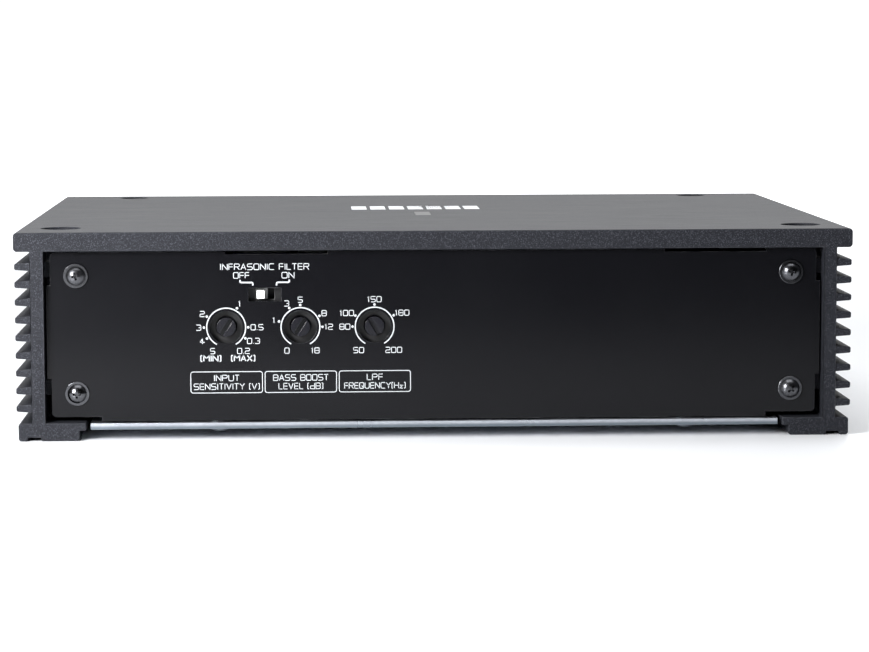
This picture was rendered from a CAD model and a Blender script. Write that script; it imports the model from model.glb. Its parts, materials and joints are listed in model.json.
import json
import math
import random

import bmesh
import bpy
from mathutils import Euler, Matrix, Vector

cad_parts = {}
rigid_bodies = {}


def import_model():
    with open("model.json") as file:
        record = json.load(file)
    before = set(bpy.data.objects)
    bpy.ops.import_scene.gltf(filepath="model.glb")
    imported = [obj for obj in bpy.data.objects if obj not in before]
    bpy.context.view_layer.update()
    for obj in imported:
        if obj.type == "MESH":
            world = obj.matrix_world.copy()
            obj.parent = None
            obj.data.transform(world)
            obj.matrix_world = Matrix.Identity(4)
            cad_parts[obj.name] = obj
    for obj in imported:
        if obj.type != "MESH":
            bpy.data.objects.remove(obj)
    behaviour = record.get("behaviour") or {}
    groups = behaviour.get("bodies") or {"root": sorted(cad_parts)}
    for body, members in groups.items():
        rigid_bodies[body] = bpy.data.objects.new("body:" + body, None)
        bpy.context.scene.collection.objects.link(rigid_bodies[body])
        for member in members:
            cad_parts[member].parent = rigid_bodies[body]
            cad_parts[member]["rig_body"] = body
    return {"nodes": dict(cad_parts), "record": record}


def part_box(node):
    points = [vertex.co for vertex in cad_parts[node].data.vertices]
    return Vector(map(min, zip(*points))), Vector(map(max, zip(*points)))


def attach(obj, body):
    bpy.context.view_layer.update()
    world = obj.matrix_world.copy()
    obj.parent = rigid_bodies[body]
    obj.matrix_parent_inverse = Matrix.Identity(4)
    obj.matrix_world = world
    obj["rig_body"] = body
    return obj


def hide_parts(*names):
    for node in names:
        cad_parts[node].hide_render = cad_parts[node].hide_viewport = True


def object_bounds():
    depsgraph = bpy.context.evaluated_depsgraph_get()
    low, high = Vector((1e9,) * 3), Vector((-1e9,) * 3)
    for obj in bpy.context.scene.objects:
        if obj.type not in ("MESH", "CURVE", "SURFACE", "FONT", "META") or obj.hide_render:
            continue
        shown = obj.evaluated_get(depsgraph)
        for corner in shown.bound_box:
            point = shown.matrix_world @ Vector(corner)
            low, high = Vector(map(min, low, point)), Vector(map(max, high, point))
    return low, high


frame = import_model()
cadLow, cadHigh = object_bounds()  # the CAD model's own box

mm = 0.001
flatAngle = math.radians(0.5)  # faces closer to one plane than this are joined
weldGap = 1e-6
scene = bpy.context.scene
print("frame loaded:", len(frame["nodes"]), "nodes")


def put(tree, kind, sockets=None, **settings):
    node = tree.nodes.new(kind)
    for name, value in settings.items():
        setattr(node, name, value)
    for key, value in (sockets or {}).items():
        plug = node.inputs[key]
        if isinstance(value, bpy.types.NodeSocket):
            tree.links.new(value, plug)
        elif isinstance(value, (list, tuple)) and isinstance(value[0], bpy.types.NodeSocket):
            for item in reversed(value):  # a multi-input socket
                tree.links.new(item, plug)
        else:
            plug.default_value = value
    return node


def got(tree, kind, sockets=None, **settings):
    # a new node's first output
    return put(tree, kind, sockets, **settings).outputs[0]


def calc(tree, operation, *values):
    return got(tree, "ShaderNodeMath", dict(enumerate(values)), operation=operation)


def vectorCalc(tree, operation, *values):
    return got(tree, "ShaderNodeVectorMath", dict(enumerate(values)), operation=operation)


def ranged(tree, value, fromLow, fromHigh, toLow=0.0, toHigh=1.0, **settings):
    labels = ("Value", "From Min", "From Max", "To Min", "To Max")
    spread = dict(zip(labels, (value, fromLow, fromHigh, toLow, toHigh)))
    return got(tree, "ShaderNodeMapRange", spread, **settings)


def blended(tree, share, first, second):
    # two colours, each as plain values or as a socket, mixed by share
    first, second = (c if isinstance(c, bpy.types.NodeSocket) else (*c, 1) for c in (first, second))
    return put(tree, "ShaderNodeMix", {0: share, 6: first, 7: second}, data_type="RGBA").outputs[2]


def chosen(tree, share, first, second):
    return got(tree, "ShaderNodeMix", {0: share, 2: first, 3: second})


def noise(tree, place, size, detail, roughness=0.5):
    # noise with patches about as large as size
    sockets = {"Vector": place, "Scale": calc(tree, "DIVIDE", 1.0, size), "Detail": detail,
               "Roughness": roughness}
    return got(tree, "ShaderNodeTexNoise", sockets)


def bump(tree, height, depth):
    return got(tree, "ShaderNodeBump", {"Height": height, "Strength": 1.0, "Distance": depth * mm})


def axisOf(tree, source, axis):
    return put(tree, "ShaderNodeSeparateXYZ", {0: source}).outputs[axis]


def objectPlace(tree):
    return put(tree, "ShaderNodeTexCoord").outputs["Object"]


def trueNormal(tree):
    return put(tree, "ShaderNodeNewGeometry").outputs["True Normal"]


def feed(tree, plugs, values):
    for label, value in values.items():
        tree.links.new(value, plugs[label])


def newTree(name, kind, inputs, outputs):
    # an input is given by its start value, or by the name of its socket type
    tree = bpy.data.node_groups.new(name, kind)
    kinds = {float: "Float", int: "Int", tuple: "Vector"}
    for label, start in inputs.items():
        named = isinstance(start, str)
        socketType = "NodeSocket" + (start if named else kinds[type(start)])
        socket = tree.interface.new_socket(name=label, in_out="INPUT", socket_type=socketType)
        if not named:
            socket.default_value = start
    for label in outputs:
        socketType = "NodeSocketGeometry" if label == "Geometry" else "NodeSocketFloat"
        tree.interface.new_socket(name=label, in_out="OUTPUT", socket_type=socketType)
    return tree, tree.nodes.new("NodeGroupInput").outputs, tree.nodes.new("NodeGroupOutput").inputs


def grown(name, tree, values, base=None):
    # runs a geometry tree once and hands back the plain mesh it makes
    host = bpy.data.objects.new(name + "Host", base or bpy.data.meshes.new(name))
    scene.collection.objects.link(host)
    growth = host.modifiers.new("growth", "NODES")
    growth.node_group = tree
    for item in tree.interface.items_tree:
        if item.in_out == "INPUT" and item.name in values:
            growth[item.identifier] = values[item.name]
    mesh = bpy.data.meshes.new_from_object(host.evaluated_get(bpy.context.evaluated_depsgraph_get()))
    bpy.data.objects.remove(host)
    mesh.name = name
    return mesh


def settled(name, shell):
    # a working shell turned into a mesh
    mesh = bpy.data.meshes.new(name)
    shell.to_mesh(mesh)
    shell.free()
    return mesh


def addPiece(name, mesh, body, nodes=(), material=None, smoothAngle=35, bevel=0):
    piece = bpy.data.objects.new(name, mesh)
    scene.collection.objects.link(piece)
    if material:
        mesh.materials.clear()
        mesh.materials.append(material)
    mesh.shade_smooth()
    mesh.set_sharp_from_angle(angle=math.radians(smoothAngle))
    if bevel:
        rounding = piece.modifiers.new("rounding", "BEVEL")
        rounding.width = bevel
        rounding.segments = 2
        rounding.limit_method = "ANGLE"
        rounding.angle_limit = math.radians(smoothAngle)
        flatNormals = piece.modifiers.new("flatNormals",
                                          "WEIGHTED_NORMAL")  # big faces stay flat beside their arcs
        flatNormals.keep_sharp = True
    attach(piece, body)
    if nodes:
        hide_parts(*nodes)
    return piece


def mergedCopy(node):
    # a CAD node's mesh is loose triangles, so its copy is welded and its flat faces are joined
    shell = bmesh.new()
    shell.from_mesh(frame["nodes"][node].data)
    bmesh.ops.remove_doubles(shell, verts=shell.verts, dist=weldGap)
    bmesh.ops.dissolve_limit(shell, angle_limit=flatAngle, verts=shell.verts, edges=shell.edges)
    return shell


def islandsOf(shell):
    left, islands = set(shell.verts), []
    while left:
        todo, island = [left.pop()], []
        while todo:
            vert = todo.pop()
            island.append(vert)
            for edge in vert.link_edges:
                other = edge.other_vert(vert)
                if other in left:
                    left.remove(other)
                    todo.append(other)
        islands.append(island)
    return islands


def boxOf(island):
    return tuple(Vector([pick(v.co[i] for v in island) for i in range(3)]) for pick in (min, max))


def softened(node, name, bevel, material, keep=None):
    # the CAD shape with its edges eased; keep picks some of its solids by their middles
    shell = mergedCopy(node)
    if keep:
        shell.verts.ensure_lookup_table()
        for island in islandsOf(shell):
            low, high = boxOf(island)
            if not keep((low + high) / 2):
                bmesh.ops.delete(shell, geom=island, context="VERTS")
    body = frame["nodes"][node]["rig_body"]
    return addPiece(name, settled(name, shell), body, [node], material, bevel=bevel)


def solidBoxes(node):
    # the box of each separate solid in a CAD node
    shell = mergedCopy(node)
    boxes = [boxOf(island) for island in islandsOf(shell)]
    shell.free()
    return sorted(boxes, key=lambda b: tuple(round(c, 5) for c in b[0]))


# effects that several materials share

def makeGrain():
    # fine coating grain: a height for the bump, a tone for colour and a slow cloud for gloss
    tree, given, out = newTree("coatingGrain", "ShaderNodeTree", {"Grain Size": 0.0004, "Cloud Size": 0.02},
                               ["Height", "Tone", "Cloud"])
    bumps = noise(tree, objectPlace(tree), given["Grain Size"], 2.0)
    clouds = noise(tree, objectPlace(tree), given["Cloud Size"], 4.0)
    feed(tree, out, {"Height": bumps, "Tone": ranged(tree, bumps, 0.35, 0.68), "Cloud": clouds})
    return tree


def makeStreaks():
    # drawn or brushed lines that run along one axis
    tree, given, out = newTree("brushedLines", "ShaderNodeTree",
                               {"Stretch": (1.0, 1.0, 1.0), "Line Size": 0.0003}, ["Height", "Tone"])
    along = vectorCalc(tree, "MULTIPLY", objectPlace(tree), given["Stretch"])
    lines = noise(tree, along, given["Line Size"], 3.0, 0.7)
    feed(tree, out, {"Height": lines, "Tone": ranged(tree, lines, 0.3, 0.7)})
    return tree


def makeEdgeRub():
    # a mask along outer edges, broken up so that the wear is not an even line
    tree, given, out = newTree("edgeRub", "ShaderNodeTree",
                               {"Radius": 0.0004, "Sharpness": 3.0, "Patch Size": 0.004}, ["Mask"])
    eased = got(tree, "ShaderNodeBevel", {"Radius": given["Radius"]}, samples=4)
    same = put(tree, "ShaderNodeVectorMath", {0: eased, 1: trueNormal(tree)}, operation="DOT_PRODUCT")
    turned = calc(tree, "SUBTRACT", 1.0, same.outputs["Value"])
    strong = got(tree, "ShaderNodeMath", {0: turned, 1: given["Sharpness"]}, operation="MULTIPLY",
                 use_clamp=True)
    patches = noise(tree, objectPlace(tree), given["Patch Size"], 5.0)
    feed(tree, out, {"Mask": calc(tree, "MULTIPLY", strong, ranged(tree, patches, 0.35, 0.65))})
    return tree


grainGroup = makeGrain()
streakGroup = makeStreaks()
rubGroup = makeEdgeRub()


def grainOf(tree, grainSize, cloudSize):
    sockets = {"Grain Size": grainSize * mm, "Cloud Size": cloudSize * mm}
    return put(tree, "ShaderNodeGroup", sockets, node_tree=grainGroup).outputs


def streaksOf(tree, stretch, lineSize):
    return put(tree, "ShaderNodeGroup", {"Stretch": stretch, "Line Size": lineSize * mm},
               node_tree=streakGroup).outputs


def startMaterial(name, color, roughness, metallic=0.0, **fixed):
    material = bpy.data.materials.new(name)
    material.use_nodes = True
    tree = material.node_tree
    shader = tree.nodes["Principled BSDF"]
    shader.inputs["Base Color"].default_value = (*color, 1)
    shader.inputs["Roughness"].default_value = roughness
    shader.inputs["Metallic"].default_value = metallic
    for label, value in fixed.items():
        shader.inputs[label].default_value = value
    material.diffuse_color = (*color, 1)
    return material, tree, shader


def coated(name, color, roughness, metallic=0.0, grainSize=0.3, grainDepth=0.03, cloudSize=25,
           toneSpread=0.25,
           glossSpread=0.08, rubColor=None, rubRadius=0.35, rubStrength=0.5, streaks=None, fixed=None):
    # one recipe for paints, platings and moulded plastics, in millimetres
    material, tree, shader = startMaterial(name, color, roughness, metallic, **(fixed or {}))
    grain = grainOf(tree, grainSize, cloudSize)
    relief = streaksOf(tree, **streaks) if streaks else grain
    dark = tuple(c * (1 - toneSpread) for c in color)
    light = tuple(min(1, c * (1 + toneSpread)) for c in color)
    base = blended(tree, relief["Tone"], dark, light)
    if rubColor:
        rub = got(tree, "ShaderNodeGroup", {"Radius": rubRadius * mm}, node_tree=rubGroup)
        base = blended(tree, calc(tree, "MULTIPLY", rub, rubStrength), base, rubColor)
    gloss = ranged(tree, grain["Cloud"], 0.3, 0.7, roughness - glossSpread, roughness + glossSpread)
    feed(tree, shader.inputs, {"Base Color": base, "Roughness": gloss,
                               "Normal": bump(tree, relief["Height"], grainDepth)})
    return material


def extrusionCoat():
    # powder-coated aluminium: gritty on the cut ends and fins, drawn lines along X on the top face
    look = {"color": (0.012, 0.0127, 0.0165), "sparkle": (0.075, 0.08, 0.095), "rub": (0.09, 0.095, 0.105),
            "roughness": 0.58, "topRoughness": 0.5, "shine": 0.14, "grain": 0.18, "cloud": 30,
            "speckle": 6.0,
            "line": 0.35, "lineStretch": (0.02, 1.0, 1.0), "relief": 0.05}
    material, tree, shader = startMaterial("extrusionCoat", look["color"], look["roughness"],
                                           **{"Specular IOR Level": look["shine"]})
    grain = grainOf(tree, look["grain"], look["cloud"])
    lines = streaksOf(tree, look["lineStretch"], look["line"])
    rub = got(tree, "ShaderNodeGroup", node_tree=rubGroup)
    up = calc(tree, "GREATER_THAN", axisOf(tree, trueNormal(tree), "Z"), 0.9)
    high = calc(tree, "GREATER_THAN", axisOf(tree, objectPlace(tree), "Z"), cadHigh.z - 1 * mm)
    top = calc(tree, "MULTIPLY", up, high)
    gritty = blended(tree, calc(tree, "POWER", grain["Tone"], look["speckle"]), look["color"],
                     look["sparkle"])
    dark, light = (tuple(c * share for c in look["color"]) for share in (0.8, 1.5))
    base = blended(tree, top, gritty, blended(tree, lines["Tone"], dark, light))
    worn = blended(tree, calc(tree, "MULTIPLY", rub, 0.7), base, look["rub"])
    plain = ranged(tree, grain["Cloud"], 0.3, 0.7, look["roughness"] - 0.05, look["roughness"] + 0.05)
    silky = ranged(tree, lines["Tone"], 0.0, 1.0, look["topRoughness"] - 0.06, look["topRoughness"] + 0.08)
    relief = chosen(tree, top, grain["Height"], lines["Height"])
    feed(tree, shader.inputs, {"Base Color": worn, "Roughness": chosen(tree, top, plain, silky),
                               "Normal": bump(tree, relief, look["relief"])})
    return material


def shearedPlate():
    # plated sheet steel: the cut edge is bright where the blade sheared it, duller where it broke away below
    look = {"color": (0.56, 0.59, 0.64), "broken": (0.2, 0.235, 0.27), "breakLow": 3.2, "breakHigh": 3.7}
    material = coated("shearedPlate", look["color"], 0.34, 1.0, grainSize=1.4, grainDepth=0.006, cloudSize=9,
                      toneSpread=0.06, glossSpread=0.1)
    tree = material.node_tree
    base = tree.nodes["Principled BSDF"].inputs["Base Color"]
    cutEdge = ranged(tree, axisOf(tree, objectPlace(tree), "Z"), look["breakLow"] * mm,
                     look["breakHigh"] * mm)
    flat = calc(tree, "GREATER_THAN", calc(tree, "ABSOLUTE", axisOf(tree, trueNormal(tree), "Z")), 0.5)
    bright = calc(tree, "MAXIMUM", cutEdge, flat)
    tree.links.new(blended(tree, bright, look["broken"], base.links[0].from_socket), base)
    return material


def boardCoat():
    # solder mask over copper tracks, with a scatter of tinned pads
    look = {"mask": (0.012, 0.07, 0.035), "track": (0.03, 0.15, 0.07), "pad": (0.6, 0.6, 0.58),
            "trackPitch": 10.4,
            "padPitch": 5.1, "padShare": 0.12}
    material, tree, shader = startMaterial("boardCoat", look["mask"], 0.32)
    black, white = (0, 0, 0, 1), (1, 1, 1, 1)
    tracks = put(tree, "ShaderNodeTexBrick",
                 {"Vector": objectPlace(tree), "Scale": 1 / (look["trackPitch"] * mm), "Mortar Size": 0.02,
                  "Color1": black, "Color2": black, "Mortar": white}, offset=0.37, squash=1.7).outputs
    pads = got(tree, "ShaderNodeTexVoronoi",
               {"Vector": objectPlace(tree), "Scale": 1 / (look["padPitch"] * mm), "Randomness": 0.7},
               voronoi_dimensions="2D")
    dot = calc(tree, "LESS_THAN", pads, look["padShare"])
    mask = blended(tree, tracks["Color"], look["mask"], look["track"])
    feed(tree, shader.inputs, {"Base Color": blended(tree, dot, mask, look["pad"]), "Metallic": dot,
                               "Normal": bump(tree, tracks["Fac"], 0.04)})
    return material


drawnX = {"stretch": (0.03, 1.0, 1.0), "lineSize": 0.25}
finishes = {
    "coat_black": extrusionCoat(),
    "panel_black": coated("satinPanel", (0.0035, 0.0036, 0.0048), 0.23, grainSize=0.22, grainDepth=0.004,
                          toneSpread=0.2,
                          glossSpread=0.03, rubColor=(0.16, 0.165, 0.175), rubRadius=0.2, rubStrength=0.8,
                          fixed={"Specular IOR Level": 0.22}),
    "plain_silver": coated("brushedSilver", (0.78, 0.79, 0.81), 0.32, 1.0, grainDepth=0.004, toneSpread=0.1,
                           streaks=drawnX),
    "bright_zinc": coated("brightZinc", (0.46, 0.49, 0.54), 0.34, 1.0, grainSize=1.4, grainDepth=0.006,
                          cloudSize=9,
                          toneSpread=0.06, glossSpread=0.1),
    "dark_screw": coated("blackZinc", (0.095, 0.097, 0.105), 0.27, 1.0, grainSize=0.3, grainDepth=0.004,
                         toneSpread=0.2,
                         rubColor=(0.32, 0.325, 0.34), rubRadius=0.22, rubStrength=0.55),
    "board_green": boardCoat(),
    "part_black": coated("mouldedBlack", (0.009, 0.009, 0.01), 0.42, grainSize=0.35, grainDepth=0.008,
                         rubColor=(0.06, 0.06, 0.062), rubStrength=0.5),
    "shaft_black": coated("shaftBlack", (0.005, 0.005, 0.008), 0.24, grainSize=0.4, grainDepth=0.004,
                          rubColor=(0.14, 0.14, 0.17), rubRadius=0.12, rubStrength=0.45),
    "slider_white": coated("sliderWhite", (0.86, 0.86, 0.84), 0.4, grainSize=0.5, grainDepth=0.004,
                           toneSpread=0.03),
    "brass": coated("brass", (0.72, 0.55, 0.26), 0.28, 1.0, grainSize=0.6, grainDepth=0.003,
                    toneSpread=0.08),
    "copper_wire": coated("enamelledCopper", (0.55, 0.22, 0.1), 0.25, 1.0, grainSize=0.8, grainDepth=0.004,
                          toneSpread=0.12, fixed={"Coat Weight": 0.6, "Coat Roughness": 0.12}),
    "ferrite": coated("ferrite", (0.09, 0.095, 0.1), 0.6, grainSize=0.5, grainDepth=0.02),
    "fuse_green": coated("fuseGreen", (0.03, 0.42, 0.12), 0.2, grainSize=1.2, grainDepth=0.004,
                         toneSpread=0.06,
                         fixed={"Transmission Weight": 0.35}),
    "sheet_clear": coated("insulationSheet", (0.8, 0.8, 0.72), 0.35, grainSize=1.0, grainDepth=0.006,
                          fixed={"Transmission Weight": 0.3}),
    "pipe_clear": coated("clearPipe", (0.82, 0.9, 0.94), 0.12, grainSize=1.0, grainDepth=0.002,
                         glossSpread=0.03,
                         fixed={"Transmission Weight": 0.85}),
    "sleeve_blue": coated("capSleeve", (0.02, 0.035, 0.12), 0.3, grainSize=0.6, grainDepth=0.004),
    "film_red": coated("filmRed", (0.42, 0.05, 0.035), 0.35, grainSize=0.7, grainDepth=0.006),
    "pad_grey": coated("padGrey", (0.5, 0.5, 0.52), 0.7, grainSize=0.3, grainDepth=0.01),
    "white_print": coated("whitePrint", (0.46, 0.48, 0.5), 0.5, grainSize=0.12, grainDepth=0.003,
                          toneSpread=0.08),
    "sheared_plate": shearedPlate(),
    "jack_red": coated("jackRed", (0.62, 0.03, 0.025), 0.35, grainSize=0.5, grainDepth=0.004,
                       toneSpread=0.05),
}
print("finishes made:", len(finishes))


# every CAD node starts in its own finish; later pieces stand for some of them
nodeSlots = {n["node"]: n.get("material_slot") for n in frame["record"].get("subparts", []) if "node" in n}
for name, node in frame["nodes"].items():
    ownSlots = [material.name.split(".")[0] for material in node.data.materials[:1]]
    slot = nodeSlots.get(name) or (ownSlots[0] if ownSlots else "part_black")
    material = finishes.get(slot, finishes["part_black"])
    if node.data.materials:
        node.data.materials[0] = material
    else:
        node.data.materials.append(material)


extrusion = {  # millimetres, for the +X side; the other side is the same part turned round
    "plateThick": 4.65, "plateRadius": 0.9, "webIn": 95.4, "webOut": 98.6,
    "finCount": 9, "finPitch": 4.33, "finRoot": 2.1, "finTip": 1.5, "finStart": 2.6, "finOut": 102.3,
    "finCorner": 0.45,
    "footIn": 87.1, "footOut": 101.9, "footHigh": 4.4, "footRadius": 0.7, "lipIn": 85.5, "lipLow": 2.5,
    "grooveIn": 96.4, "grooveOut": 99.7, "grooveDeep": 0.85,
    "bossX": 87.65, "bossLow": 11.4, "bossHigh": 40.3, "bossRadius": 3.2, "bossHole": 1.52, "bossInset": 4.2,
    "ribUnder": 0.5, "earLength": 15.3, "earInset": 0.2,
    "frontHole": (92.2, -64.5), "rearHole": (81.8, 63.6), "mountRadius": 2.25, "frontAccess": 4.95,
    "rearAccess": 4.0,
    "edge": 0.18, "weld": 0.06, "finBite": 0.6,
}


def moved(tree, shape, **how):
    return got(tree, "GeometryNodeTransform", {"Geometry": shape, **how})


def middleOf(tree, low, high):
    return vectorCalc(tree, "MULTIPLY", vectorCalc(tree, "ADD", high, low), (0.5, 0.5, 0.5))


def block(tree, low, high):
    # a box between two corners
    cube = got(tree, "GeometryNodeMeshCube", {"Size": vectorCalc(tree, "SUBTRACT", high, low)})
    return moved(tree, cube, Translation=middleOf(tree, low, high))


def copies(tree, points, shape, **how):
    # the shape on every point, as plain geometry
    placed = got(tree, "GeometryNodeInstanceOnPoints", {"Points": points, "Instance": shape, **how})
    return got(tree, "GeometryNodeRealizeInstances", {0: placed})


def endTree(tree, shape, given, out):
    real = got(tree, "GeometryNodeRealizeInstances", {0: shape})
    finished = got(tree, "GeometryNodeSetMaterial", {"Geometry": real, "Material": given["Finish"]})
    tree.links.new(finished, out["Geometry"])
    return tree


def bothSides(tree, shape, place):
    # one copy at place and one at its mirror spot
    flipped = vectorCalc(tree, "MULTIPLY", place, (-1, 1, 1))
    across = vectorCalc(tree, "MULTIPLY", place, (2, 0, 0))
    return copies(tree, got(tree, "GeometryNodeMeshLine",
                            {"Count": 2, "Start Location": flipped, "Offset": across}),
                  shape)


def drill(tree, radius, length, turn=(0, 0, 0)):
    bar = got(tree, "GeometryNodeMeshCylinder", {"Vertices": 64, "Radius": radius, "Depth": length})
    return moved(tree, bar, Rotation=turn)


def cut(tree, operation, first, others):
    node = tree.nodes.new("GeometryNodeMeshBoolean")
    node.operation = operation
    node.solver = "MANIFOLD"
    meshes = list(others)
    if operation == "DIFFERENCE":
        tree.links.new(first, node.inputs["Mesh 1"])
    else:
        meshes = [first] + meshes
    for item in meshes:
        tree.links.new(item, node.inputs["Mesh 2"])
    return node.outputs["Mesh"]


def tapered(tree, high, bottom, top):
    return got(tree, "GeometryNodeCurvePrimitiveQuadrilateral",
               {"Height": high, "Bottom Width": bottom, "Top Width": top, "Offset": 0.0}, mode="TRAPEZOID")


def sweptAlongY(tree, profile, corner, length):
    # rounds the profile's corners and carries it along Y; the profile's height comes to lie along X
    rounded = got(tree, "GeometryNodeFilletCurve", {"Curve": profile, "Radius": corner, "Count": 5},
                  mode="POLY")
    half = calc(tree, "MULTIPLY", length, 0.5)
    start = got(tree, "ShaderNodeCombineXYZ", {"Z": calc(tree, "MULTIPLY", half, -1.0)})
    end = got(tree, "ShaderNodeCombineXYZ", {"Z": half})
    path = got(tree, "GeometryNodeCurvePrimitiveLine", {"Start": start, "End": end})
    bar = got(tree, "GeometryNodeCurveToMesh", {"Curve": path, "Profile Curve": rounded, "Fill Caps": True})
    return moved(tree, bar, Rotation=(0, math.radians(90), math.radians(-90)))


def roundedBar(tree, low, high, radius):
    side = put(tree, "ShaderNodeSeparateXYZ", {0: vectorCalc(tree, "SUBTRACT", high, low)}).outputs
    bar = sweptAlongY(tree, tapered(tree, side["X"], side["Z"], side["Z"]), radius, side["Y"])
    return moved(tree, bar, Translation=middleOf(tree, low, high))


def makeExtrusionTree():
    blocks = ["Web", "Lip", "Rib Low", "Rib High", "Groove", "Ear", "Bar", "Inlay"]
    bars = ["Plate", "Foot"]
    spots = [b + end for b in blocks + bars for end in (" From", " To")]
    spots += ["Fin Place", "Boss Low", "Boss High", "Front Access", "Rear Access", "Front Mount",
              "Bar Pitch"]
    lengths = ["Fin Pitch", "Fin Root", "Fin Tip", "Fin Reach", "Fin Corner", "Length", "Middle",
               "Plate Radius",
               "Foot Radius", "Boss Radius", "Boss Hole", "Boss Length", "Front Access Radius",
               "Rear Access Radius", "Mount Radius", "Drill Length"]
    inputs = {**dict.fromkeys(spots, "Vector"), **dict.fromkeys(lengths, "Float"),
              "Fin Count": 9, "Bar Count": 7, "Finish": "Material"}
    tree, given, out = newTree("finnedExtrusion", "GeometryNodeTree", inputs, ["Geometry"])
    box = {b: block(tree, given[b + " From"], given[b + " To"]) for b in blocks}
    for b in bars:
        box[b] = roundedBar(tree, given[b + " From"], given[b + " To"], given[b + " Radius"])

    # the fin: a tapered, round-tipped profile carried along Y, then stacked down the web
    profile = tapered(tree, given["Fin Reach"], given["Fin Root"], given["Fin Tip"])
    laid = sweptAlongY(tree, profile, given["Fin Corner"], given["Length"])
    step = got(tree, "ShaderNodeCombineXYZ", {"Z": calc(tree, "MULTIPLY", given["Fin Pitch"], -1.0)})
    stack = got(tree, "GeometryNodeMeshLine",
                {"Count": given["Fin Count"], "Start Location": given["Fin Place"], "Offset": step})
    fins = copies(tree, stack, laid)

    # one side, its turned copy, and the top plate joined into one body
    alongY, halfTurn = (math.radians(90), 0, 0), (0, 0, math.pi)
    boss = drill(tree, given["Boss Radius"], given["Boss Length"], alongY)
    bosses = [moved(tree, boss, Translation=given[n]) for n in ("Boss Low", "Boss High")]
    side = cut(tree, "UNION", box["Web"], [box[n] for n in ("Foot", "Lip", "Rib Low",
                                                            "Rib High")] + bosses + [fins])
    shift = got(tree, "ShaderNodeCombineXYZ", {"Y": calc(tree, "MULTIPLY", given["Middle"], 2.0)})
    other = moved(tree, side, Rotation=halfTurn, Translation=shift)
    body = cut(tree, "UNION", box["Plate"], [side, other])

    # holes, grooves and the shallow seats for the badge bars
    groove = moved(tree, box["Groove"], Rotation=halfTurn, Translation=shift)
    earSize = vectorCalc(tree, "ADD", given["Ear From"], given["Ear To"])
    otherEar = moved(tree, box["Ear"], Translation=vectorCalc(tree, "MULTIPLY", earSize, (-1, 0, 0)))
    holes = [bothSides(tree, drill(tree, given[radius], given["Drill Length"]), given[place]) for radius,
             place in (
        ("Front Access Radius", "Front Access"), ("Rear Access Radius", "Rear Access"),
        ("Mount Radius", "Front Mount"))]
    holes += [bothSides(tree, drill(tree, given["Boss Hole"], given["Length"], alongY), given[n])
              for n in ("Boss Low", "Boss High")]
    seats = got(tree, "GeometryNodeMeshLine", {"Count": given["Bar Count"], "Offset": given["Bar Pitch"]})
    seats = copies(tree, seats, box["Bar"])
    holed = cut(tree, "DIFFERENCE", body, [box["Groove"], groove, box["Ear"], otherEar, *holes, seats,
                                           box["Inlay"]])
    return endTree(tree, holed, given, out)


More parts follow.
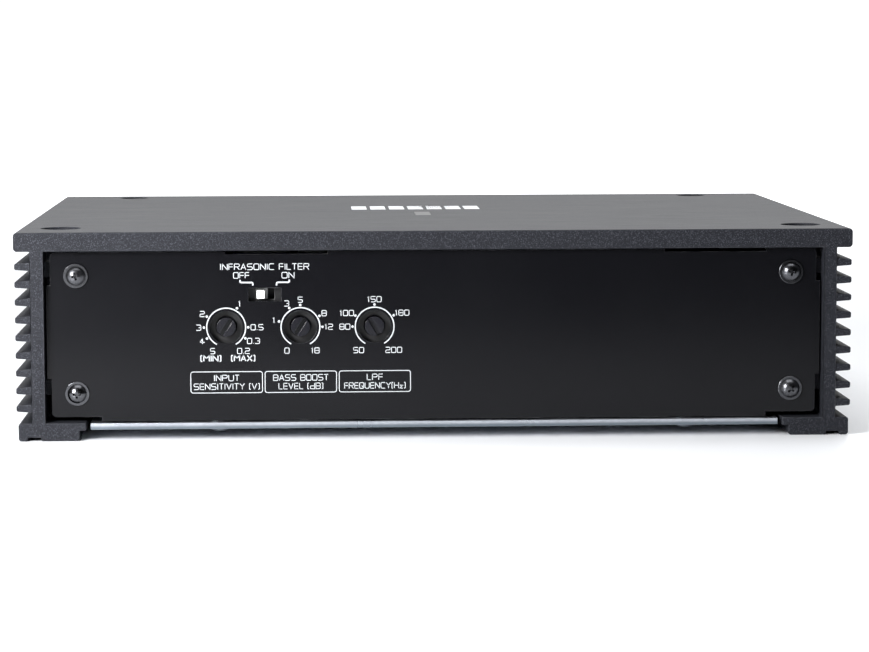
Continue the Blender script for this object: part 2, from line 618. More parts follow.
def makeHeatsink():
    e = extrusion
    low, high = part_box("heatsink")
    front, back, top = low.y / mm, high.y / mm, high.z / mm
    under = top - e["plateThick"]
    middle, length = (front + back) / 2, back - front
    reach = e["finOut"] - e["webOut"] + e["finBite"]
    over, drillLength, sliver = 1.0, 60.0, 0.01
    bars, inlay = solidBoxes("top_badge"), solidBoxes("badge_inlay")[0]

    def at(*spot):
        return tuple(v * mm for v in spot)

    def corners(name, a, b):
        return {name + " From": at(*a), name + " To": at(*b)}

    def ribAt(z):
        return ((e["bossX"], front + e["bossInset"], z - e["ribUnder"]),
                (e["webIn"] + over, back - e["bossInset"], z + e["bossRadius"]))

    lengths = {  # tree input: the value in the dictionary above
        "Fin Pitch": "finPitch", "Fin Root": "finRoot", "Fin Tip": "finTip", "Fin Corner": "finCorner",
        "Plate Radius": "plateRadius", "Foot Radius": "footRadius", "Boss Radius": "bossRadius",
        "Boss Hole": "bossHole",
        "Front Access Radius": "frontAccess", "Rear Access Radius": "rearAccess",
        "Mount Radius": "mountRadius",
    }
    values = {
        **{label: e[key] * mm for label, key in lengths.items()},
        **corners("Plate", (low.x / mm, front, under), (high.x / mm, back, top)),
        **corners("Web", (e["webIn"], front, e["footHigh"] - over), (e["webOut"], back, under + over)),
        **corners("Foot", (e["footIn"], front, 0), (e["footOut"], back, e["footHigh"])),
        **corners("Lip", (e["lipIn"], front, e["lipLow"]), (e["footIn"] + over, back, e["footHigh"])),
        **corners("Rib Low", *ribAt(e["bossLow"])), **corners("Rib High", *ribAt(e["bossHigh"])),
        **corners("Groove", (e["grooveIn"], front - over, -over),
                  (e["grooveOut"], back + over, e["grooveDeep"])),
        **corners("Ear", (e["lipIn"] - over, back - e["earLength"], e["lipLow"] - sliver),
                  (e["footIn"] + e["earInset"], back + over, e["footHigh"] + sliver)),
        "Bar From": tuple(bars[0][0]), "Bar To": (bars[0][1].x, bars[0][1].y, high.z + over * mm),
        "Inlay From": tuple(inlay[0]), "Inlay To": (inlay[1].x, inlay[1].y, high.z + over * mm),
        "Bar Pitch": (bars[1][0].x - bars[0][0].x, 0, 0), "Bar Count": len(bars),
        "Fin Count": e["finCount"], "Fin Reach": reach * mm,
        "Fin Place": at(e["finOut"] - reach / 2, middle, under - e["finStart"] - e["finRoot"] / 2),
        "Length": length * mm, "Middle": middle * mm, "Boss Length": (length - 2 * e["bossInset"]) * mm,
        "Boss Low": at(e["bossX"], middle, e["bossLow"]), "Boss High": at(e["bossX"], middle, e["bossHigh"]),
        "Front Access": at(*e["frontHole"], e["footHigh"] + drillLength / 2),
        "Rear Access": at(*e["rearHole"], e["footHigh"] + drillLength / 2),
        "Front Mount": at(*e["frontHole"], 0), "Drill Length": drillLength * mm,
        "Finish": finishes["coat_black"],
    }
    shell = bmesh.new()
    mesh = grown("heatsinkBody", makeExtrusionTree(), values)
    shell.from_mesh(mesh)
    bmesh.ops.remove_doubles(shell, verts=shell.verts, dist=e["weld"] * mm)
    bmesh.ops.dissolve_limit(shell, angle_limit=flatAngle, verts=shell.verts, edges=shell.edges)
    # the big U-shaped ends are cut into triangles, so that the bevel can't leave a bad many-sided face
    bmesh.ops.triangulate(shell, faces=[f for f in shell.faces if len(f.verts) > 4])
    shell.to_mesh(mesh)
    shell.free()
    piece = addPiece("heatsinkBody", mesh, "casing", ["heatsink"], None, bevel=e["edge"] * mm)
    piece.modifiers["rounding"].use_clamp_overlap = False
    piece.modifiers["rounding"].loop_slide = False
    return piece


heatsinkBody = makeHeatsink()
print("extrusion:", len(heatsinkBody.data.polygons), "faces",
      [round(v / mm, 2) for v in heatsinkBody.dimensions])


def screwKind(head, high, rim, shank, long, wing, wide, deep):
    # head radius and height, straight rim, shank radius and length, and the cross recess
    return {"head": head, "high": high, "rim": rim, "shank": shank, "long": long, "wing": wing, "wide": wide,
            "deep": deep, "domeSteps": 7, "tipBevel": 0.35, "ease": 0.12, "pitch": 0.5, "crest": 0.12}


screwKinds = {  # millimetres
    "panel": screwKind(2.3, 1.6, 0.45, 1.5, 8.4, 1.3, 0.62, 1.0),
    "button": screwKind(2.75, 1.5, 0.35, 1.5, 5.5, 1.2, 0.6, 0.9),
    "board": screwKind(2.6, 1.6, 0.45, 1.5, 6.0, 1.3, 0.62, 0.9),
    "terminal": screwKind(3.7, 2.6, 1.1, 2.0, 10.0, 2.0, 0.9, 1.5),
    "clamp": screwKind(2.3, 1.6, 0.45, 1.5, 11.2, 1.3, 0.62, 0.9),
}


def lathed(name, outline, steps=40):
    # spins an outline of (radius, height) pairs round Z into a closed shape
    shell = bmesh.new()
    verts = [shell.verts.new((r * mm, 0, z * mm)) for r, z in outline]
    edges = [shell.edges.new(pair) for pair in zip(verts, verts[1:])]
    bmesh.ops.spin(shell, geom=verts + edges, cent=(0, 0, 0), axis=(0, 0, 1), angle=math.tau, steps=steps,
                   use_merge=True)
    bmesh.ops.remove_doubles(shell, verts=shell.verts, dist=weldGap)
    bmesh.ops.recalc_face_normals(shell, faces=shell.faces)
    return settled(name, shell)


def crossCutter(name, kind):
    # two crossed wings, narrower at the bottom of the recess
    over, narrow, thin = 0.4, 0.45, 0.75
    shell = bmesh.new()
    for turn in (0, math.pi / 2):
        for vert in bmesh.ops.create_cube(shell, size=1.0)["verts"]:
            up = vert.co.z > 0
            spot = Vector((vert.co.x * 2 * kind["wing"] * (1.0 if up else narrow),
                           vert.co.y * kind["wide"] * (1.0 if up else thin),
                           kind["high"] + (over if up else -kind["deep"]))) * mm
            vert.co = Matrix.Rotation(turn, 3, "Z") @ spot
    return settled(name, shell)


def makeScrew(name):
    kind = screwKinds[name]
    head, shank, long, ease = kind["head"], kind["shank"], kind["long"], kind["ease"]
    rise = kind["high"] - kind["rim"]
    ball = (head ** 2 + rise ** 2) / (2 * rise)
    sweep = math.asin(head / ball)
    dome = []
    for i in range(kind["domeSteps"] + 1):
        angle = sweep * i / kind["domeSteps"]
        dome.append((ball * math.sin(angle), kind["high"] - ball + ball * math.cos(angle)))
    threads = []
    z = -0.6
    while z > -long + 1:  # shallow rings stand for the thread
        threads += [(shank, z), (shank - kind["crest"], z - kind["pitch"] / 2)]
        z -= kind["pitch"]
    outline = [*dome, (head, ease), (head - ease, 0), (shank, 0), *threads,
               (shank, -long + kind["tipBevel"]), (shank - kind["tipBevel"], -long), (0, -long)]
    body = bpy.data.objects.new(name + "Screw", lathed(name + "Screw", outline))
    tool = bpy.data.objects.new(name + "Cross", crossCutter(name + "Cross", kind))
    for item in (body, tool):
        scene.collection.objects.link(item)
    recess = body.modifiers.new("recess", "BOOLEAN")
    recess.operation = "DIFFERENCE"
    recess.object = tool
    recess.solver = "EXACT"
    recess.use_self = True
    mesh = bpy.data.meshes.new_from_object(body.evaluated_get(bpy.context.evaluated_depsgraph_get()))
    for item in (body, tool):
        bpy.data.objects.remove(item)
    return bpy.data.objects.new(name + "Pattern", mesh)


def named(tree, name, kind):
    return put(tree, "GeometryNodeInputNamedAttribute", {"Name": name}, data_type=kind).outputs["Attribute"]


def makeScatterTree():
    # puts one pattern on every point, turned by the point's own angles
    inputs = {"Geometry": "Geometry", "Pattern": "Object", "Finish": "Material"}
    tree, given, out = newTree("setScrews", "GeometryNodeTree", inputs, ["Geometry"])
    pattern = put(tree, "GeometryNodeObjectInfo", {"Object": given["Pattern"]}).outputs["Geometry"]
    turn = named(tree, "turn", "FLOAT_VECTOR")
    placed = copies(tree, given["Geometry"], pattern,
                    Rotation=got(tree, "FunctionNodeEulerToRotation", {0: turn}))
    return endTree(tree, placed, given, out)


scatterTree = makeScatterTree()


def pointCloud(name, places):
    # points with a "turn" attribute; places are (spot, euler angles)
    points = bpy.data.meshes.new(name)
    points.from_pydata([tuple(spot) for spot, _ in places], [], [])
    turns = points.attributes.new("turn", "FLOAT_VECTOR", "POINT")
    for item, (_, angles) in zip(turns.data, places):
        item.vector = tuple(angles)
    return points


def setScrews(node, name, kindName, slot, axis):
    # axis is the way the heads face; each screw keeps its CAD place and gets its own turn
    chance = random.Random(len(node))
    kind = screwKinds[kindName]
    places = []
    for low, high in solidBoxes(node):
        facing = Vector(axis((low + high) / 2))
        spot = (low + high) / 2
        tipToHead = sum(abs(f) * (h - l) for f, h, l in zip(facing, high, low))
        spot += facing * (tipToHead / 2 - kind["high"] * mm)
        spin = Euler((0, 0, math.radians(chance.uniform(-40, 40)))).to_matrix()
        turn = (facing.to_track_quat("Z", "Y").to_matrix() @ spin).to_euler()
        places.append((spot, turn))
    mesh = grown(name, scatterTree, {"Pattern": makeScrew(kindName), "Finish": finishes[slot]},
                 pointCloud(name + "Points", places))
    return addPiece(name, mesh, "casing", [node], None, smoothAngle=40)


setScrews("panel_screws", "panelScrews", "panel", "dark_screw", lambda c: (0, -1 if c.y < 0 else 1, 0))
setScrews("bottom_screws", "bottomScrews", "button", "bright_zinc", lambda c: (0, 0, -1))
setScrews("board_screws", "boardScrews", "board", "bright_zinc", lambda c: (0, 0, 1))
setScrews("power_screws", "powerScrews", "terminal", "bright_zinc", lambda c: (0, 1, 0))
setScrews("speaker_screws", "speakerScrews", "terminal", "bright_zinc", lambda c: (0, 1, 0))
setScrews("clamp_screws", "clampScrews", "clamp", "bright_zinc", lambda c: (-1 if c.x > 0 else 1, 0, 0))
print("screws set")


# these keep their CAD shape, with eased edges
easedParts = {  # node: (piece, edge radius in millimetres, finish)
    "top_badge": ("topBadge", 0.05, "plain_silver"), "badge_inlay": ("badgeInlay", 0.05, "part_black"),
    "control_panel": ("controlPanel", 0.16, "panel_black"),
    "terminal_panel": ("terminalPanel", 0.16, "panel_black"),
    "panel_washers": ("panelWashers", 0.12, "dark_screw"),
    "bottom_plate": ("bottomPlate", 0.14, "bright_zinc"),
    "gain_shaft": ("gainShaft", 0.12, "shaft_black"), "bass_shaft": ("bassShaft", 0.12, "shaft_black"),
    "filter_shaft": ("filterShaft", 0.12, "shaft_black"),
    "switch_slider": ("switchSlider", 0.15, "slider_white"),
    "gain_pot": ("gainPot", 0.3, "part_black"), "bass_pot": ("bassPot", 0.3, "part_black"),
    "filter_pot": ("filterPot", 0.3, "part_black"), "switch_body": ("switchBody", 0.1, "part_black"),
    "power_block": ("powerBlock", 0.4, "part_black"), "speaker_block": ("speakerBlock", 0.4, "part_black"),
    "power_clamps": ("powerClamps", 0.25, "bright_zinc"),
    "speaker_clamps": ("speakerClamps", 0.25, "bright_zinc"),
    "fuse_holder": ("fuseHolder", 0.35, "part_black"),
    "left_fuse_body": ("leftFuseBody", 0.35, "fuse_green"),
    "right_fuse_body": ("rightFuseBody", 0.35, "fuse_green"),
    "left_fuse_blades": ("leftFuseBlades", 0.12, "bright_zinc"),
    "right_fuse_blades": ("rightFuseBlades", 0.12, "bright_zinc"),
    "jack_housing": ("jackHousing", 0.4, "part_black"),
    "jack_shells": ("jackShells", 0.15, "plain_silver"), "jack_contacts": ("jackContacts", 0.08, "brass"),
    "remote_socket": ("remoteSocket", 0.25, "part_black"), "light_pipes": ("lightPipes", 0.3, "pipe_clear"),
    "relay": ("relay", 0.5, "part_black"), "film_capacitors": ("filmCapacitors", 0.6, "film_red"),
    "input_capacitors": ("inputCapacitors", 0.5, "sleeve_blue"),
    "rail_capacitors": ("railCapacitors", 0.5, "sleeve_blue"),
    "driver_chips": ("driverChips", 0.15, "part_black"),
    "power_transistors": ("powerTransistors", 0.2, "part_black"),
    "clamp_bars": ("clampBars", 0.3, "plain_silver"), "board_pillars": ("boardPillars", 0.2, "brass"),
    "board_header": ("boardHeader", 0.2, "part_black"), "supply_core": ("supplyCore", 0.6, "ferrite"),
    "output_core": ("outputCore", 0.6, "ferrite"),
}
for node, (name, edge, slot) in easedParts.items():
    finish = "sheared_plate" if node == "bottom_plate" else slot
    softened(node, name, edge * mm, finishes[finish])
jackMiddle = sum((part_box("jack_insulators")[i].x for i in (0, 1))) / 2
softened("jack_insulators", "jackInsulatorWhite", 0.12 * mm, finishes["slider_white"],
         keep=lambda c: c.x > jackMiddle)
softened("jack_insulators", "jackInsulatorRed", 0.12 * mm, finishes["jack_red"],
         keep=lambda c: c.x < jackMiddle)
print("parts eased:", len(easedParts))


coils = {  # the wound ring cores, in millimetres; each ring's place, reach and height come from its CAD box
    "supply_windings": {"name": "supplyWindings", "bore": 8.0, "wire": 1.3, "turns": 18, "span": 160},
    "output_windings": {"name": "outputWindings", "bore": 5.0, "wire": 1.3, "turns": 11, "span": 150},
}


def makeCoilTree():
    # two packs of turns that face each other on a ring, each in two layers set half a turn apart
    inputs = {**dict.fromkeys(["Bore", "Reach", "Height", "Wire", "Span"], "Float"), "Turns": 12,
              "Middle": "Vector", "Finish": "Material"}
    tree, given, out = newTree("coilTurns", "GeometryNodeTree", inputs, ["Geometry"])
    across = calc(tree, "SUBTRACT", given["Reach"], given["Bore"])
    centre = calc(tree, "ADD", given["Bore"], calc(tree, "MULTIPLY", across, 0.5))
    spot = got(tree, "ShaderNodeCombineXYZ", {"X": centre,
                                              "Z": calc(tree, "MULTIPLY", given["Height"], 0.5)})
    rim = got(tree, "GeometryNodeCurvePrimitiveCircle",
              {"Resolution": 8, "Radius": calc(tree, "MULTIPLY", given["Wire"], 0.5)}, mode="RADIUS")
    layers = []
    for layer in (0, 1):
        inset = calc(tree, "MULTIPLY", given["Wire"], 2 * layer + 1.02)
        sides = {"Width": calc(tree, "SUBTRACT", across, inset),
                 "Height": calc(tree, "SUBTRACT", given["Height"], inset)}
        loop = got(tree, "GeometryNodeCurvePrimitiveQuadrilateral", sides)
        eased = got(tree, "GeometryNodeFilletCurve", {"Curve": loop, "Radius": given["Wire"], "Count": 3},
                    mode="POLY")
        turn = got(tree, "GeometryNodeCurveToMesh", {"Curve": eased, "Profile Curve": rim})
        stood = moved(tree, turn, Rotation=(math.radians(90), 0, 0), Translation=spot)
        index = calc(tree, "ADD", got(tree, "GeometryNodeInputIndex"), 0.25 + 0.5 * layer)
        share = calc(tree, "SUBTRACT", calc(tree, "DIVIDE", index, given["Turns"]), 0.5)
        angle = got(tree, "ShaderNodeCombineXYZ", {"Z": calc(tree, "MULTIPLY", share, given["Span"])})
        points = got(tree, "GeometryNodeMeshLine", {"Count": given["Turns"], "Offset": (0, 0, 0)})
        layers.append(copies(tree, points, stood,
                             Rotation=got(tree, "FunctionNodeEulerToRotation", {0: angle})))
    pack = got(tree, "GeometryNodeJoinGeometry", {0: layers})
    both = got(tree, "GeometryNodeJoinGeometry", {0: [pack, moved(tree, pack, Rotation=(0, 0, math.pi))]})
    return endTree(tree, moved(tree, both, Translation=given["Middle"]), given, out)


coilTree = makeCoilTree()
for node, coil in coils.items():
    low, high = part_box(node)
    values = {"Bore": coil["bore"] * mm, "Reach": (high.x - low.x) / 2, "Height": high.z - low.z,
              "Wire": coil["wire"] * mm, "Span": math.radians(coil["span"]), "Turns": coil["turns"],
              "Middle": ((low.x + high.x) / 2, (low.y + high.y) / 2, low.z),
              "Finish": finishes["copper_wire"]}
    mesh = grown(coil["name"], coilTree, values)
    addPiece(coil["name"], mesh, "casing", [node], None, smoothAngle=60)
    print("coil:", node, [round(v / mm, 2) for v in (high - low)], len(mesh.polygons), "faces")


# printed marks on the control panel
# strokes on a small grid: a b c top row, d e f middle row, g h i bottom row; a capital is a rounded corner
letterStrokes = {
    "A": "gbi jk", "B": "gaCfd fIg", "C": "cAGi", "D": "gaCIg", "E": "cagi df", "F": "cag df",
    "H": "ag ci df",
    "I": "bh", "L": "agi", "M": "gaeci", "N": "gaic", "O": "hGABCIh", "P": "gaCFd", "Q": "hGABCIh ei",
    "R": "gaCFd ei", "S": "cADFIg", "T": "ac bh", "U": "aGIc", "V": "ahc", "X": "ai cg", "Y": "aec eh",
    "d": "ci fDGi", "z": "dfgi", "0": "hGABCIh", "1": "mbh", "2": "aCFDgi", "3": "aCfe fIg", "4": "hbno",
    "5": "cadFIg", "6": "cAGIFd", "8": "hGABCIh df", ".": "hr", "(": "cAGi", ")": "aCIg", " ": "",
}
letterWidths = {"I": 0.12, "1": 0.4, ".": 0.12, "(": 0.28, ")": 0.28, " ": 0.45, "T": 0.85, "L": 0.8,
                "F": 0.8,
                "E": 0.85, "M": 1.1, "z": 0.7}
printLook = {  # millimetres
    "line": 0.19, "dialLine": 0.3, "boxLine": 0.2, "ink": 0.03, "capital": 1.42, "digit": 1.32, "gap": 0.42,
    "narrow": 0.82, "dialRadius": 4.75, "dialSweep": 151, "tickRadius": 5.4, "tickSize": 0.32,
    "numberRadius": 6.7,
    "labelWide": 17.5, "labelHigh": 5.2, "labelDrop": 13.5, "labelCorner": 0.65, "lineStep": 2.1,
    "switchTitle": 6.85, "switchWords": 4.75, "switchSpread": 5.7, "leaderOut": 6.0, "leaderIn": 2.9,
    "leaderTop": 3.66, "leaderMid": 3.0, "leaderLow": 2.26, "leaderLine": 0.38, "leaderCorner": 0.5,
    "endDrop": 7.6, "endHigh": 1.4, "endLine": 0.27, "minOut": 3.8, "minWide": 4.9, "maxOut": 4.1,
    "maxWide": 5.7,
    "titleWide": 21.6, "offWide": 3.8, "onWide": 3.0, "tickTop": 0.85,
}
dialMarks = {  # angle from the top, clockwise: number
    "gain_shaft": {-150: "5", -120: "4", -90: "3", -60: "2", 30: "1", 90: "0.5", 120: "0.3", 150: "0.2"},
    "bass_shaft": {-150: "0", -75: "1", -30: "3", 0: "5", 60: "8", 90: "12", 150: "18"},
    "filter_shaft": {-150: "50", -90: "80", -60: "100", 0: "150", 60: "180", 150: "200"},
}
dialLabels = {  # two lines each, with the width that each is set to
    "gain_shaft": (("INPUT", 6.1), ("SENSITIVITY (V)", 16.0)),
    "bass_shaft": (("BASS BOOST", 13.4), ("LEVEL (dB)", 10.8)),
    "filter_shaft": (("LPF", 3.8), ("FREQUENCY(Hz)", 14.9)),
}


def gridPoint(mark):
    rows = {"abc": 1.0, "def": 0.5, "ghi": 0.0}
    extra = {"j": (0.2, 0.34), "k": (0.8, 0.34), "m": (0.0, 0.78), "n": (0.0, 0.3), "o": (1.0, 0.3),
             "r": (0.5, 0.1)}
    if mark.lower() in extra:
        return extra[mark.lower()]
    for row, height in rows.items():
        if mark.lower() in row:
            return row.index(mark.lower()) / 2, height


def roundedLine(points, radii, steps=4):
    # replaces each marked corner by a short arc
    line = [points[0]]
    for before, here, after, radius in zip(points, points[1:], points[2:], radii[1:]):
        if radius:
            a, b = (before - here), (after - here)
            reach = min(radius, a.length / 2.01, b.length / 2.01)
            start, end = here + a.normalized() * reach, here + b.normalized() * reach
            for i in range(steps + 1):
                t = i / steps
                line.append(start * (1 - t) ** 2 + here * 2 * t * (1 - t) + end * t ** 2)
        else:
            line.append(here)
    return line + [points[-1]]


def straightRuns(word):
    # a stroke is split at its sharp corners, since a ribbon grows thin where it turns sharply
    runs, start = [], 0
    for i in range(1, len(word)):
        if i == len(word) - 1 or word[i].islower() or word[i].isdigit():
            runs.append((word[start:i + 1], (start > 0, i < len(word) - 1)))
            start = i
    return runs


def textWidth(text, high, gap):
    return sum(letterWidths.get(c, 1.0) * high for c in text) + gap * (len(text) - 1)


def writeText(strokes, text, x, z, high, line, wide=None):
    # centred on x, z; strokes collects (points, line width)
    gap = printLook["gap"]
    natural = textWidth(text, high, gap)
    stretch = (wide / natural) if wide else printLook["narrow"]
    pen = x - natural * stretch / 2
    for letter in text:
        across = letterWidths.get(letter, 1.0) * high * stretch
        shape = letterStrokes[letter]
        for word in shape.split():
            for marks, joined in straightRuns(word):
                points = [Vector((pen + u * across, z + (v - 0.5) * high)) for u, v in map(gridPoint, marks)]
                if joined[0]:
                    points[0] += (points[0] - points[1]).normalized() * line / 2
                if joined[1]:
                    points[-1] += (points[-1] - points[-2]).normalized() * line / 2
                radii = [0.3 * high if m.isupper() else 0 for m in marks]
                strokes.append((roundedLine(points, radii), line))
        pen += across + gap * stretch


def roundedBox(x, z, wide, high, corner):
    w, h = wide / 2, high / 2
    ring = [Vector((x, z + h)), Vector((x + w, z + h)), Vector((x + w, z - h)), Vector((x - w, z - h)),
            Vector((x - w, z + h)), Vector((x, z + h))]
    return roundedLine(ring, [0, corner, corner, corner, corner, 0], steps=6)


def makeInkTree():
    # flat ribbons of ink along the strokes, lying on the XY plane
    inputs = {"Geometry": "Geometry", "Ink Thickness": 0.03 * mm, "Finish": "Material"}
    tree, given, out = newTree("inkRibbons", "GeometryNodeTree", inputs, ["Geometry"])
    line = got(tree, "GeometryNodeMeshToCurve", {0: given["Geometry"]})
    flat = got(tree, "GeometryNodeSetCurveNormal", {"Curve": line}, mode="Z_UP")
    profile = got(tree, "GeometryNodeCurvePrimitiveQuadrilateral", {"Width": 1.0, "Height": 1.0})
    ribbon = got(tree, "GeometryNodeCurveToMesh", {"Curve": flat, "Profile Curve": profile,
                                                   "Scale": named(tree, "wide", "FLOAT"), "Fill Caps": True})
    place = got(tree, "GeometryNodeInputPosition")
    side = put(tree, "ShaderNodeSeparateXYZ", {0: place}).outputs
    level = calc(tree, "MULTIPLY", calc(tree, "GREATER_THAN", side["Z"], 0.0), given["Ink Thickness"])
    pressed = got(tree, "ShaderNodeCombineXYZ", {"X": side["X"], "Y": side["Y"], "Z": level})
    thin = got(tree, "GeometryNodeSetPosition", {"Geometry": ribbon, "Position": pressed})
    return endTree(tree, moved(tree, thin, Rotation=(math.radians(90), 0, 0)), given, out)


def makePrint():
    look, strokes, dots = printLook, [], []
    for shaftName, marks in dialMarks.items():
        low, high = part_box(shaftName)
        x, z = (low.x + high.x) / 2 / mm, (low.z + high.z) / 2 / mm
        sweep = math.radians(look["dialSweep"])
        arc = [Vector((x + look["dialRadius"] * math.sin(a), z + look["dialRadius"] * math.cos(a)))
               for a in (sweep * (i / 36 - 1) for i in range(73))]
        strokes.append((arc, look["dialLine"]))
        for angle, number in marks.items():
            a = math.radians(angle)
            if abs(angle) < 145:
                dots.append((x + look["tickRadius"] * math.sin(a), z + look["tickRadius"] * math.cos(a)))
            natural = look["narrow"] * textWidth(number, look["digit"], look["gap"])
            extra = max(0, natural - look["digit"]) / 2 * math.copysign(min(1, 2 * abs(math.sin(a))),
                                                                        math.sin(a))
            writeText(strokes, number, x + look["numberRadius"] * math.sin(a) + extra,
                      z + look["numberRadius"] * math.cos(a), look["digit"], look["line"])
        drop = z - look["labelDrop"]
        strokes.append((roundedBox(x, drop, look["labelWide"], look["labelHigh"], look["labelCorner"]),
                        look["boxLine"]))
        for i, (words, wide) in enumerate(dialLabels[shaftName]):
            writeText(strokes, words, x, drop + look["lineStep"] * (0.5 - i), look["capital"], look["line"],
                      wide)
    low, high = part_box("gain_shaft")
    x, z = (low.x + high.x) / 2 / mm, (low.z + high.z) / 2 / mm
    for words, out, wide in (("(MIN)", -look["minOut"], look["minWide"]),
                             ("(MAX)", look["maxOut"], look["maxWide"])):
        writeText(strokes, words, x + out, z - look["endDrop"], look["endHigh"], look["endLine"], wide)
    low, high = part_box("switch_body")
    x, z = (low.x + high.x) / 2 / mm, (low.z + high.z) / 2 / mm
    writeText(strokes, "INFRASONIC FILTER", x, z + look["switchTitle"], look["capital"], look["line"],
              look["titleWide"])
    for side, words, wide in ((-1, "OFF", look["offWide"]), (1, "ON", look["onWide"])):
        writeText(strokes, words, x + side * look["switchSpread"], z + look["switchWords"], look["endHigh"],
                  look["line"], wide)
        corner = [Vector((x + side * look[out], z + look[up])) for out, up in (
            ("leaderOut", "leaderTop"), ("leaderOut", "leaderMid"), ("leaderIn", "leaderMid"),
            ("leaderIn", "leaderLow"))]
        strokes.append((roundedLine(corner, [0, look["leaderCorner"], look["leaderCorner"], 0]),
                        look["leaderLine"]))

    verts, edges, widths = [], [], []
    for points, wide in strokes:
        first = len(verts)
        verts += [(p.x * mm, p.y * mm, 0) for p in points]
        edges += [(first + i, first + i + 1) for i in range(len(points) - 1)]
        widths += [wide * mm] * len(points)
    lines = bpy.data.meshes.new("printLines")
    lines.from_pydata(verts, edges, [])
    attribute = lines.attributes.new("wide", "FLOAT", "POINT")
    attribute.data.foreach_set("value", widths)
    mesh = grown("panelPrint", makeInkTree(), {"Ink Thickness": look["ink"] * mm,
                                               "Finish": finishes["white_print"]}, lines)
    mesh.transform(Matrix.Translation((0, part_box("control_panel")[0].y, 0)))
    addPiece("panelPrint", mesh, "casing", (), None)

    size, ink = look["tickSize"], look["ink"]
    disc = lathed("tickDisc", [(0, ink), (size * look["tickTop"], ink), (size, 0), (0, 0)], 14)
    pattern = bpy.data.objects.new("tickPattern", disc)
    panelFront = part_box("control_panel")[0].y
    places = [(Vector((dx * mm, panelFront, dz * mm)), (math.radians(90), 0, 0)) for dx, dz in dots]
    ticks = grown("dialTicks", scatterTree, {"Pattern": pattern, "Finish": finishes["white_print"]},
                  pointCloud("tickPoints", places))
    addPiece("dialTicks", ticks, "casing", (), None)
    print("print:", len(strokes), "strokes,", len(dots), "ticks")


makePrint()


studio = {  # metres
    "floorSize": 6.0, "floorColor": (0.86, 0.87, 0.89), "plainOut": 0.2, "whiteFrom": 1.1,
    "flagNear": -0.25, "flagFar": -2.6, "flagWide": 1.6, "skyColor": (0.93, 0.96, 1.0, 1), "white": 1.1,
}
lights = {  # softbox: place, what it faces, size and power
    "backSoftbox": ((0.1, 1.3, 0.75), (0, 0, 0.05), (1.8, 0.7), 10.5),
    "leftSoftbox": ((-0.27, -0.34, 0.16), (-0.1, -0.08, 0.03), (0.12, 0.16), 3.5),
    "topSoftbox": ((0.0, -0.1, 1.3), (0, -0.05, 0), (1.2, 1.2), 14),
}
view = {"place": (-0.0309, -0.7724, 0.0994), "look": (0.0439, 0.9937, -0.1030),
        "up": (0.0070, 0.1028, 0.9947),
        "lens": 118.07, "sensor": 36}


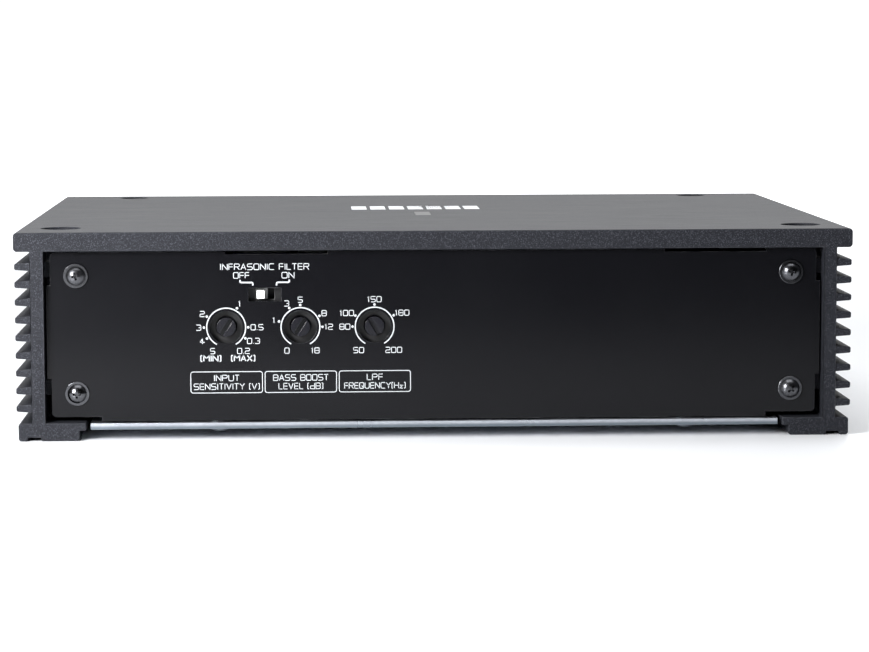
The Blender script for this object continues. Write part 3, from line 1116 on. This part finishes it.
def makeStage():
    floor = bpy.data.meshes.new("floor")
    half = studio["floorSize"] / 2
    floor.from_pydata([(-half, -half, 0), (half, -half, 0), (half, half, 0), (-half, half, 0)], [],
                      [(0, 1, 2, 3)])
    ground = bpy.data.objects.new("floor", floor)
    scene.collection.objects.link(ground)
    material, tree, shader = startMaterial("paleFloor", studio["floorColor"], 0.35,
                                           **{"Specular IOR Level": 0.3})
    away = axisOf(tree, objectPlace(tree), "Y")  # the floor turns into a white sweep further back
    glow = ranged(tree, away, studio["plainOut"], studio["whiteFrom"], interpolation_type="SMOOTHSTEP")
    shader.inputs["Emission Color"].default_value = (1, 1, 1, 1)
    tree.links.new(glow, shader.inputs["Emission Strength"])
    floor.materials.append(material)
    ground.location.z = cadLow.z - 0.02 * mm

    # a dark flag in front, seen only in reflections, gives the end panel its fall-off
    flag = bpy.data.meshes.new("darkFlag")
    near, far, wide = studio["flagNear"], studio["flagFar"], studio["flagWide"]
    flag.from_pydata([(-wide, far, 0), (wide, far, 0), (wide, near, 0), (-wide, near, 0)], [],
                     [(0, 1, 2, 3)])
    card = bpy.data.objects.new("darkFlag", flag)
    scene.collection.objects.link(card)
    flag.materials.append(startMaterial("flagCloth", (0.01, 0.01, 0.01), 0.9)[0])
    card.location.z = cadLow.z + 1 * mm
    card.visible_camera = card.visible_shadow = card.visible_diffuse = False


def areaLight(name, place, target, size, power, color=(1, 1, 1)):
    lamp = bpy.data.lights.new(name, "AREA")
    lamp.shape, lamp.size, lamp.size_y = "RECTANGLE", size[0], size[1]
    lamp.energy, lamp.color = power, color
    light = bpy.data.objects.new(name, lamp)
    light.location = place
    light.visible_camera = False
    light.rotation_euler = (Vector(target) - Vector(place)).to_track_quat("-Z", "Y").to_euler()
    scene.collection.objects.link(light)


def makeWorld():
    world = bpy.data.worlds.new("studio")
    scene.world = world
    world.use_nodes = True
    tree = world.node_tree
    tree.nodes.clear()
    place = put(tree, "ShaderNodeTexCoord").outputs["Generated"]
    rise = ranged(tree, axisOf(tree, place, "Z"), 0.0, 0.9, 0.12, 0.9)
    behind = ranged(tree, axisOf(tree, place, "Y"), -0.5, 0.6, 0.02, 1.0)
    sky = put(tree, "ShaderNodeBackground", {"Color": studio["skyColor"],
                                             "Strength": calc(tree, "MULTIPLY", rise, behind)})
    white = put(tree, "ShaderNodeBackground", {"Color": (1, 1, 1, 1), "Strength": studio["white"]})
    seen = put(tree, "ShaderNodeLightPath").outputs["Is Camera Ray"]
    mixed = put(tree, "ShaderNodeMixShader", {0: seen, 1: sky.outputs[0], 2: white.outputs[0]})
    put(tree, "ShaderNodeOutputWorld", {0: mixed.outputs[0]})


def makeCamera():
    camera = bpy.data.objects.new("camera", bpy.data.cameras.new("camera"))
    camera.data.sensor_width, camera.data.lens = view["sensor"], view["lens"]
    look, up = Vector(view["look"]), Vector(view["up"])
    back = -look.normalized()
    right = up.cross(back).normalized()
    up = back.cross(right)
    turn = Matrix((right, up, back)).transposed().to_4x4()
    camera.matrix_world = Matrix.Translation(view["place"]) @ turn
    camera.data.clip_start, camera.data.clip_end = 0.01, 20
    scene.collection.objects.link(camera)
    scene.camera = camera


makeStage()
makeWorld()
for name, lightSetting in lights.items():
    areaLight(name, *lightSetting)
makeCamera()
scene.view_settings.view_transform = "Standard"
print("stage set")
